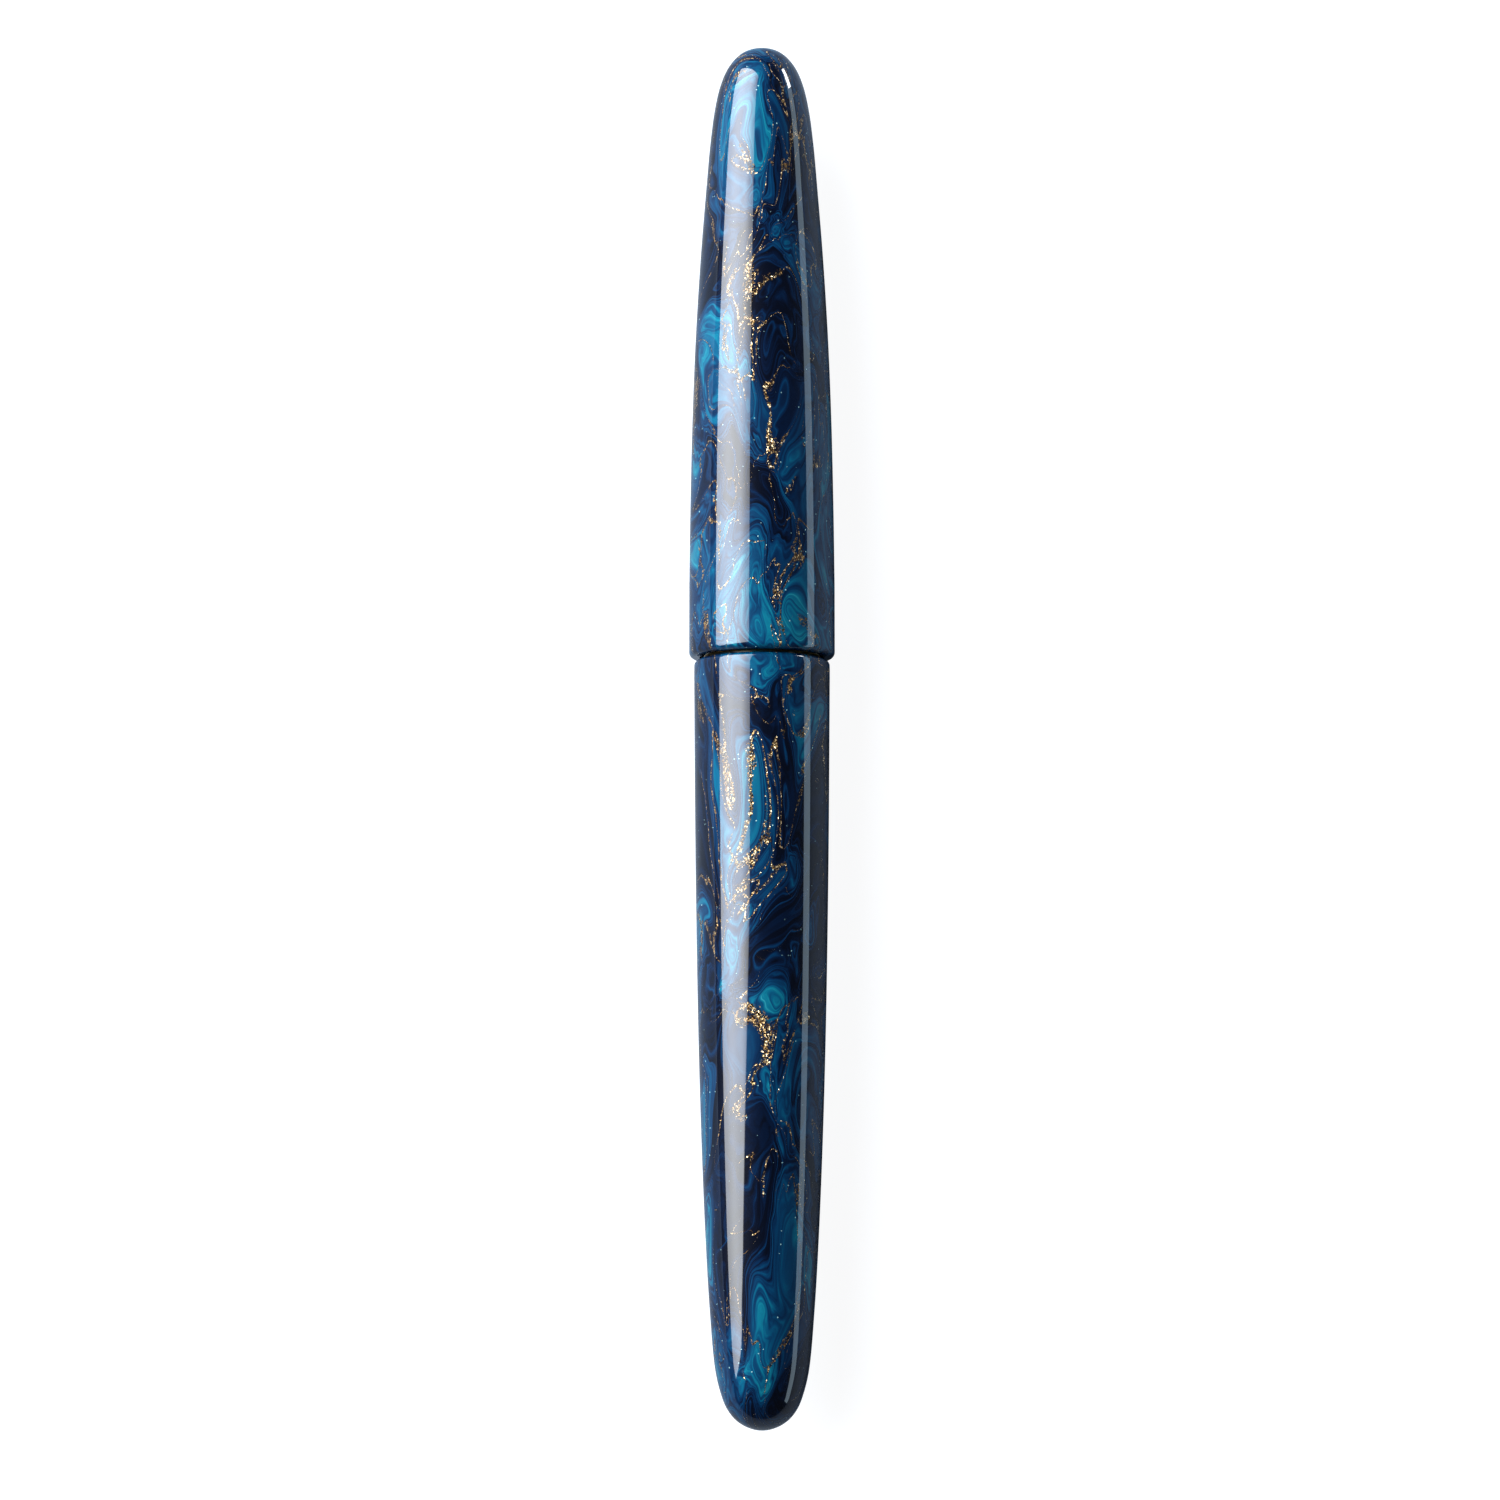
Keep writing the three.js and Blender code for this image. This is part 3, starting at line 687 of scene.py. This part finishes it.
# ================================================================= barrel
barrel_curve = [(-75, 0), (-74.9, 0.85), (-74.5, 1.92), (-73.8, 2.9), (-72.6, 3.8), (-71.0, 4.42),
                (-68.6, 4.98), (-62, 5.59), (-54, 6.06), (-44, 6.48), (-32, 6.83), (-14, 7.14), (5.6, 7.31)]
barrel_out = catmull(barrel_curve, 9, start_pole=True)
barrel_out += [(6.3, 7.31)]
for k in range(1, 9):                                   # the mouth's round shoulder
    t = k / 8 * math.pi / 2
    barrel_out.append((6.75 + 0.6 * math.sin(t), 6.72 + 0.59 * math.cos(t)))
barrel_bore = rounded([(7.35, 5.85), (-2.1, 5.85), (-2.1, 5.1), (-40, 5.1), (-46, 4.3),
                       (-65.8, 4.3), (-66.4, 3.4), (-66.4, 0)], 0.15, closed=False)
barrel_bore = [(7.35, 6.15), (7.28, 5.93)] + barrel_bore[1:]
barrel_shell = lathe("barrel_shell_turned", barrel_out + barrel_bore, 176,
                     second=lambda x, r: r < 5.95 and x < 7.3 and
                     r < np.interp(x, [-75, -66.5, -66.4, -46, -40, 8], [0, 0, 4.35, 4.35, 5.2, 5.95]))
place(barrel_shell, "barrel", "barrel_shell", "marbled_resin", resin, resin_bore)

insert_profile = densify(rounded([(-1.8, 4.95), (-1.8, 5.7), (5.8, 5.7), (5.8, 4.95)], 0.1),
                         -1.8, 5.8, 4.85, 5.0, 0.07)
insert_thread = female(5.12, 4.56, start=-1.1, length=3.2, lead=1.0, starts=1, phase=math.pi, base=0.56, crest=0.12)
insert = lathe("barrel_thread_insert_cut", insert_profile, 128,
               lambda i, x, rr, a: insert_thread(x, rr, a) if rr[0] < 5.0 else rr)
place(insert, "barrel", "barrel_thread_insert", "brass", brass_mat)

o_ring = lathe("barrel_o_ring_moulded",
               [(6.5 + 0.355 * math.cos(k / 20 * TAU), 5.32 + 0.355 * math.sin(k / 20 * TAU)) for k in range(20)], 112)
place(o_ring, "seal_ring", "barrel_o_ring", "rubber", rubber_mat)

joint_ring = lathe("joint_ring_turned", rounded([
    (7.65, 4.9), (7.65, 6.1), (7.8, 6.3), (8.6, 6.3), (8.75, 6.1), (8.75, 4.9)], 0.07), 128)
place(joint_ring, "trim_ring", "joint_ring", "brass", brass_mat)

# ================================================================ section
grip_curve = catmull([(16.3, 5.4), (20, 5.2), (24.5, 4.9), (29, 4.72), (31.8, 4.82), (33.3, 5.06)], 7)
section_profile = ([(-1.2, 3.8), (-1.2, 4.2), (-0.9, 4.4), (5.2, 4.4), (5.4, 4.7), (9.05, 4.7), (9.05, 5.9),
                    (9.2, 5.95), (15.3, 5.95), (15.6, 5.75)] + grip_curve +
                   [(33.75, 5.11), (34.15, 5.05), (34.42, 4.92), (34.5, 4.75), (34.5, 3.9), (19.9, 3.9),
                    (19.9, 3.3), (15.3, 3.3), (15.3, 3.8)])
section_profile = densify(section_profile, -0.9, 5.2, 4.3, 4.5, 0.07)
section_profile = densify(section_profile, 9.2, 15.3, 5.9, 6.0, 0.06)
cap_male = male(5.95, 5.75, 6.3, start=9.6, length=3.6, lead=2.4, starts=3, phase=0.3 / 2.4 * TAU, base=0.5, crest=0.12)
tenon = male(4.4, 4.22, 4.75, start=-0.6, length=4.2, lead=1.0, starts=1, phase=0.5 * TAU, base=0.56, crest=0.12)


def section_shape(i, x, rr, angles):
    r = rr[0]
    if 9.2 <= x <= 15.3 and abs(r - 5.95) < 0.02:
        return cap_male(x, rr, angles)
    if -0.9 <= x <= 5.2 and abs(r - 4.4) < 0.02:
        return tenon(x, rr, angles)
    return rr


grip = lathe("grip_section_turned", section_profile, 144, section_shape,
             second=lambda x, r: r < 3.95)
place(grip, "section", "grip_section", "marbled_resin", resin, resin_bore)

housing = lathe("nib_housing_moulded", rounded([
    (9.2, 1.25), (9.2, 1.8), (9.5, 1.95), (14.7, 1.95), (14.7, 3.1), (20.3, 3.1), (20.3, 3.7),
    (34.8, 3.7), (34.8, 4.25), (35.5, 4.25), (35.8, 4.0), (35.8, 3.17), (21.5, 3.17), (21.5, 1.25)], 0.1), 96)
place(housing, "section", "nib_housing", "black_plastic", black_mat)

# feed
feed = lathe("feed_milled", rounded([
    (11, 0), (11, 1.05), (21.8, 1.05), (21.8, 2.6), (47.2, 2.6), (49.4, 2.2), (52.4, 1.45),
    (54.0, 0.8), (54.4, 0)], 0.15, closed=False), 72)
for i in range(8):
    x = 37.4 + i * 1.15
    ring = lathe("slot", [(x, 1.55), (x, 3.4), (x + 0.6, 3.4), (x + 0.6, 1.55)], 71)
    keep = block("keep", x - 1, x + 2, -5, 5, -5, 0.9)
    boolean(ring, keep, "INTERSECT")
    boolean(feed, ring)
boolean(feed, block("snout", 44, 60, -4, 4, 0, 4, math.radians(11.5), (-0.4, 0, 11.4)))
boolean(feed, block("channel", 10, 56, -0.2, 0.2, 0.3, 4))
# weld the corners that the cuts leave side by side
bm = bmesh.new()
bm.from_mesh(feed.data)
bmesh.ops.remove_doubles(bm, verts=bm.verts[:], dist=0.004 * MM)
bmesh.ops.dissolve_degenerate(bm, edges=bm.edges[:], dist=0.004 * MM)
bmesh.ops.triangulate(bm, faces=[f for f in bm.faces if len(f.verts) > 4])
bmesh.ops.recalc_face_normals(bm, faces=bm.faces[:])
bm.to_mesh(feed.data)
bm.free()
feed.data.shade_smooth()
feed.data.set_sharp_from_angle(angle=math.radians(35))
feed.data.materials.clear()
place(feed, "section", "feed", "ebonite", ebonite_mat)

# nib
HALF = [(30.5, 3.5), (37.4, 3.5), (39, 3.66), (40.4, 3.98), (41.8, 4.38), (43, 4.7), (43.8, 4.82),
        (44.6, 4.78), (45.6, 4.5), (47, 3.92), (48.5, 3.3), (50, 2.74), (51.5, 2.2), (53, 1.68),
        (54.5, 1.18), (55.8, 0.78), (57, 0.42)]
ROLL = [(30.5, 2.92), (37.4, 2.92), (40, 3.3), (44, 4.7), (48, 5.4), (57, 6.4)]
CROWN = [(30.5, 2.92), (45, 2.92), (49, 2.74), (53, 2.4), (57, 1.95)]


def make_nib():
    hole_x, hole_r, slit, sheet = 46.4, 0.85, 0.07, 0.36
    xs = list(np.linspace(30.5, 45.0, 46)) + \
        [hole_x - hole_r * math.cos(t) for t in np.linspace(0, math.pi - math.asin(slit / hole_r), 30)] + \
        list(np.linspace(47.35, 57.0, 60))
    verts, faces, edges = [], [], []
    m = 22
    grids = {}
    for side in (1, -1):
        for layer in (1, -1):
            rows = []
            for x in xs:
                R, crown, half = (pchip(t, x) for t in (ROLL, CROWN, HALF))
                chord = math.sqrt(max(0.0, hole_r ** 2 - (x - hole_x) ** 2))
                y_in = chord if x <= hole_x else max(chord, slit)
                if x < hole_x - hole_r + 1e-6:
                    y_in = 0.0
                a0, a1 = math.asin(min(0.99, y_in / R)), half / R
                row = []
                for k in range(m + 1):
                    v = k / m
                    a = a0 + (a1 - a0) * v
                    # the two long edges are eased
                    ease = 0.05 * (1 - math.sqrt(max(0.0, 1 - max(0.0, 1 - (1 - v) * (a1 - a0) * R / 0.12) ** 2)))
                    r = R + layer * (sheet / 2 - ease)
                    row.append(len(verts))
                    verts.append((x * MM, side * r * math.sin(a) * MM, (AXIS_Z + crown - R + r * math.cos(a)) * MM))
                    edges.append((1 - v) * (a1 - a0) * R if layer > 0 else 9.0)
                rows.append(row)
            grids[side, layer] = rows
    for side in (1, -1):
        top, low = grids[side, 1], grids[side, -1]
        for i in range(len(xs) - 1):
            for k in range(m):
                faces.append((top[i][k], top[i][k + 1], top[i + 1][k + 1], top[i + 1][k]))
                faces.append((low[i][k], low[i + 1][k], low[i + 1][k + 1], low[i][k + 1]))
            faces.append((top[i][m], low[i][m], low[i + 1][m], top[i + 1][m]))
            if xs[i + 1] > hole_x - hole_r + 1e-6:
                faces.append((top[i][0], top[i + 1][0], low[i + 1][0], low[i][0]))
        for k in range(m):
            faces.append((top[0][k], low[0][k], low[0][k + 1], top[0][k + 1]))
            faces.append((top[-1][k], top[-1][k + 1], low[-1][k + 1], low[-1][k]))
    me = bpy.data.meshes.new("nib_pressed")
    me.from_pydata(verts, [], faces)
    a = me.attributes.new("edge_mm", "FLOAT", "POINT")
    a.data.foreach_set("value", edges)
    bm = bmesh.new()
    bm.from_mesh(me)
    bmesh.ops.remove_doubles(bm, verts=bm.verts, dist=2e-7)
    bm.to_mesh(me)
    bm.free()
    return finish_mesh("nib_pressed", me, 40)


nib = make_nib()
place(nib, "section", "nib", "gold_nib", nib_mat)


def tipping(side, name):
    bm = bmesh.new()
    bmesh.ops.create_uvsphere(bm, u_segments=40, v_segments=28, radius=0.5)
    for v in bm.verts:
        v.co = Vector((v.co.x * 0.95 + 57.42, v.co.y * 1.05, v.co.z * 0.95 + 1.83 + AXIS_Z)) * MM
    for co, no in (((57.03 * MM, 0, 0), (-1, 0, 0)), ((0, side * 0.07 * MM, 0), (0, -side, 0))):
        geom = bm.verts[:] + bm.edges[:] + bm.faces[:]
        cut = bmesh.ops.bisect_plane(bm, geom=geom, plane_co=co, plane_no=no, clear_outer=True)
        rim = [e for e in cut["geom_cut"] if isinstance(e, bmesh.types.BMEdge)]
        bmesh.ops.holes_fill(bm, edges=rim)
    me = bpy.data.meshes.new(name)
    bm.to_mesh(me)
    bm.free()
    ob = finish_mesh(name, me, 40)
    place(ob, "section", "nib_tipping_left" if side > 0 else "nib_tipping_right", "tipping_alloy", tip_mat)


tipping(1, "nib_tipping_left_ground")
tipping(-1, "nib_tipping_right_ground")

# ============================================================== converter
tube = lathe("converter_tube_moulded", rounded([
    (-20, 2.95), (-20, 3.5), (12.9, 3.5), (13.5, 3.1), (13.5, 2.12), (8.7, 2.12), (7.9, 2.95)], 0.12), 96)
place(tube, "converter", "converter_tube", "clear_plastic", clear_mat)
collar = lathe("converter_collar_drawn", rounded([
    (-37.6, 3.63), (-37.6, 3.85), (-37.3, 3.98), (-33.2, 3.98), (-33.0, 3.9), (-32.6, 3.9), (-32.4, 3.98),
    (-16.6, 3.98), (-16.4, 3.9), (-16.0, 3.9), (-15.8, 3.98), (-11.8, 3.98), (-11.5, 3.85), (-11.5, 3.63)],
    0.06), 96)
place(collar, "converter", "converter_collar", "stainless_steel", steel_mat)


def key_hole(i, x, rr, a):
    if rr[0] > 2.5:
        return rr
    return np.minimum(rr, 1.27 / np.maximum(np.abs(np.cos(a)), 1e-3))


guide = lathe("converter_guide_moulded",
              rounded([(-23.3, 1.75), (-23.3, 3.45), (-20.25, 3.45), (-20.25, 1.75)], 0.1), 96, key_hole)
place(guide, "converter", "converter_guide", "black_plastic", black_mat)

rod_thread = male(1.1, 0.9, 1.55, start=-49.4, length=28, lead=4.0, starts=1, phase=0.0, base=1.4, crest=0.6)
rod_profile = densify([(-50, 0), (-50, 0.95), (-49.85, 1.1), (-20.2, 1.1)], -50, -20, 1.0, 1.2, 0.12, closed=False)
rod_profile += rounded([(-19.9, 1.1), (-19.9, 2.6), (-19.3, 2.6), (-19.3, 1.6), (-17.2, 1.6), (-17.2, 2.2),
                        (-16.8, 2.2), (-16.5, 1.9), (-16.5, 0)], 0.06, closed=False)


def rod_shape(i, x, rr, a):
    if rr[0] <= 1.11 and x < -19.92:
        rr = rod_thread(x, rr, a)
        return np.minimum(rr, 1.15 / np.maximum(np.abs(np.cos(a)), 1e-3))
    return rr


rod = lathe("piston_rod_moulded", rod_profile, 72, rod_shape)
place(rod, "piston", "piston_rod", "black_plastic", black_mat)
seal = lathe("piston_seal_moulded", rounded([
    (-19.1, 1.75), (-19.1, 2.86), (-18.7, 2.86), (-18.5, 2.55), (-17.9, 2.55), (-17.7, 2.86),
    (-17.35, 2.86), (-17.35, 2.35), (-17.45, 1.75)], 0.08), 96)
place(seal, "piston", "piston_seal", "rubber", rubber_mat)

knob_profile = [(-58.5, 0), (-58.5, 2.75)] + \
    rounded([(-58.5, 2.9), (-58.0, 3.5), (-56.0, 3.5), (-55.9, 3.62), (-41.1, 3.62), (-41.0, 3.5), (-38.2, 3.5),
             (-38.2, 3.4), (-23.6, 3.4), (-23.6, 1.9), (-57.3, 1.9), (-57.3, 0)], 0.1, closed=False)
knob_profile = densify(knob_profile, -29, -24, 1.8, 2.0, 0.12, closed=False)
knob_profile = densify(knob_profile, -56, -41, 3.6, 3.63, 1.0, closed=False)
knob_nut = female(2.1, 1.35, start=-29, length=5, lead=4.0, starts=1,
                  phase=math.pi + (-29 + 49.4) / 4.0 * TAU, base=1.3, crest=0.5)


def knob_shape(i, x, rr, a):
    r = rr[0]
    if abs(r - 3.62) < 0.02 and -56 < x < -41:
        end = min(1.0, (x + 56) / 0.6, (-41 - x) / 0.6)
        return 3.60 + 0.13 * max(0.0, end) * np.sign(np.cos(a * 40)) * np.sqrt(np.abs(np.cos(a * 40)))
    if r < 1.95 and -29 <= x <= -23.9:
        return knob_nut(x, rr, a)
    return rr


# the nut needs rings of its own along the bore
nut_rows = []
for p0, p1 in zip(knob_profile, knob_profile[1:]):
    nut_rows.append(p0)
    if abs(p0[1] - 1.9) < 0.01 and abs(p1[1] - 1.9) < 0.01 and abs(p1[0] - p0[0]) > 5:
        far = [x for x in np.arange(-24.0, -29.2, -0.12)]
        nut_rows += [(float(x), 1.9) for x in far if min(p0[0], p1[0]) < x < max(p0[0], p1[0])]
nut_rows.append(knob_profile[-1])
knob = lathe("converter_knob_moulded", nut_rows, 320, knob_shape)
place(knob, "knob", "converter_knob", "black_plastic", black_mat)


# ================================================================== stage
def floor_material():
    """A pale matt table. The eye sees it lit through to white, as under a light
    tent, while the pen mirrors its ordinary lit surface with the pen's shadow."""
    n = Nodes("pale_floor")
    p = n.coords()
    f = n.noise(p, 0.02, 3.0).outputs["Fac"]
    n.set(base=n.ramp(f, [(0.3, (0.165, 0.195, 0.235)), (0.7, (0.180, 0.210, 0.250))]), rough=0.9)
    n.bsdf.inputs["Emission Color"].default_value = (1, 1, 1, 1)
    n.bsdf.inputs["Specular IOR Level"].default_value = 0.0
    path = n.tree.nodes.new("ShaderNodeLightPath")
    n.link(n.math("MULTIPLY", path.outputs["Is Camera Ray"], 0.93), n.bsdf.inputs["Emission Strength"])
    return n.mat


bm = bmesh.new()
bmesh.ops.create_grid(bm, x_segments=2, y_segments=2, size=3.0)
me = bpy.data.meshes.new("floor")
bm.to_mesh(me)
bm.free()
floor = bpy.data.objects.new("floor", me)
scene.collection.objects.link(floor)
floor.location.z = -0.00005
me.materials.append(floor_material())


def panel(name, side, tilt, distance, width, length, radiance, roll=0.0, spread=None,
          colour=(1, 1, 1), far_end=1.0, corner=None):
    """A soft rectangular light. side is its angle from straight up, towards -Y,
    and tilt its lean towards +X, both in degrees from the pen's middle."""
    s, t = math.radians(side), math.radians(tilt)
    to = Vector((math.sin(t), -math.sin(s) * math.cos(t), math.cos(s) * math.cos(t)))
    data = bpy.data.lights.new(name, "AREA")
    data.shape = "RECTANGLE"
    data.size = length
    data.size_y = width
    data.energy = radiance * math.pi * width * length
    data.color = colour
    ob = bpy.data.objects.new(name, data)
    scene.collection.objects.link(ob)
    x = Vector((1, 0, 0))
    z = to.normalized()
    x = (x - z * x.dot(z)).normalized()
    y = z.cross(x)
    m = Matrix((x, y, z)).transposed().to_4x4() @ Matrix.Rotation(math.radians(roll), 4, "Z")
    m.translation = to * distance
    ob.matrix_world = m
    ob.visible_camera = False
    if spread:                       # the cloth of a softbox is brightest near its lamp
        data.use_nodes = True
        t = data.node_tree
        emit = next(k for k in t.nodes if k.type == "EMISSION")
        geo = t.nodes.new("ShaderNodeNewGeometry")
        cut = t.nodes.new("ShaderNodeSeparateXYZ")
        curve = t.nodes.new("ShaderNodeValToRGB")
        els = curve.color_ramp.elements
        curve.color_ramp.interpolation = "EASE"
        els[0].position, els[0].color = spread[0][0], (spread[0][1],) * 3 + (1,)
        els[1].position, els[1].color = spread[-1][0], (spread[-1][1],) * 3 + (1,)
        for at, v in spread[1:-1]:
            els.new(at).color = (v, v, v, 1)
        t.links.new(geo.outputs["Parametric"], cut.inputs[0])
        t.links.new(cut.outputs[1], curve.inputs[0])
        fade = t.nodes.new("ShaderNodeMapRange")     # dimmer towards the -X end
        fade.inputs["From Min"].default_value = 0.15
        fade.inputs["From Max"].default_value = 0.55
        fade.inputs["To Min"].default_value = far_end
        t.links.new(cut.outputs[0], fade.inputs["Value"])
        out = t.nodes.new("ShaderNodeMath")
        out.operation = "MULTIPLY"
        t.links.new(curve.outputs[0], out.inputs[0])
        t.links.new(fade.outputs[0], out.inputs[1])
        if corner:                                    # a flag across one corner: v + slope * u > edge
            line = t.nodes.new("ShaderNodeMath")
            line.operation = "MULTIPLY_ADD"
            line.inputs[1].default_value = corner[0]
            t.links.new(cut.outputs[0], line.inputs[0])
            t.links.new(cut.outputs[1], line.inputs[2])
            keep = t.nodes.new("ShaderNodeMapRange")
            keep.inputs["From Min"].default_value = corner[1] - 0.02
            keep.inputs["From Max"].default_value = corner[1] + 0.02
            t.links.new(line.outputs[0], keep.inputs["Value"])
            lit = t.nodes.new("ShaderNodeMath")
            lit.operation = "MULTIPLY"
            t.links.new(out.outputs[0], lit.inputs[0])
            t.links.new(keep.outputs[0], lit.inputs[1])
            out = lit
        t.links.new(out.outputs[0], emit.inputs["Strength"])
    return ob


panel("soft_light", -48.5, 16.0, 0.62, 0.66, 1.10, 14.0, colour=(0.94, 0.97, 1.0), far_end=0.72,
      spread=[(0.0, 0.36), (0.35, 0.9), (0.6, 1.0), (1.0, 0.7)], corner=(2.75, 1.025))
panel("fill_light", 85.0, 4.0, 0.70, 0.22, 1.20, 2.8, colour=(0.62, 0.83, 1.0))
panel("top_light", 86.0, 46.0, 0.60, 0.10, 0.15, 24.0)

world = bpy.data.worlds.new("studio")
scene.world = world
world.use_nodes = True
wt = world.node_tree
wt.nodes.clear()
path = wt.nodes.new("ShaderNodeLightPath")
seen = wt.nodes.new("ShaderNodeBackground")
seen.inputs["Color"].default_value = (1, 1, 1, 1)
dim = wt.nodes.new("ShaderNodeBackground")
dim.inputs["Color"].default_value = (0.035, 0.038, 0.042, 1)
mixer = wt.nodes.new("ShaderNodeMixShader")
wout = wt.nodes.new("ShaderNodeOutputWorld")
wt.links.new(path.outputs["Is Camera Ray"], mixer.inputs[0])
wt.links.new(dim.outputs[0], mixer.inputs[1])
wt.links.new(seen.outputs[0], mixer.inputs[2])
wt.links.new(mixer.outputs[0], wout.inputs["Surface"])

bpy.context.view_layer.update()
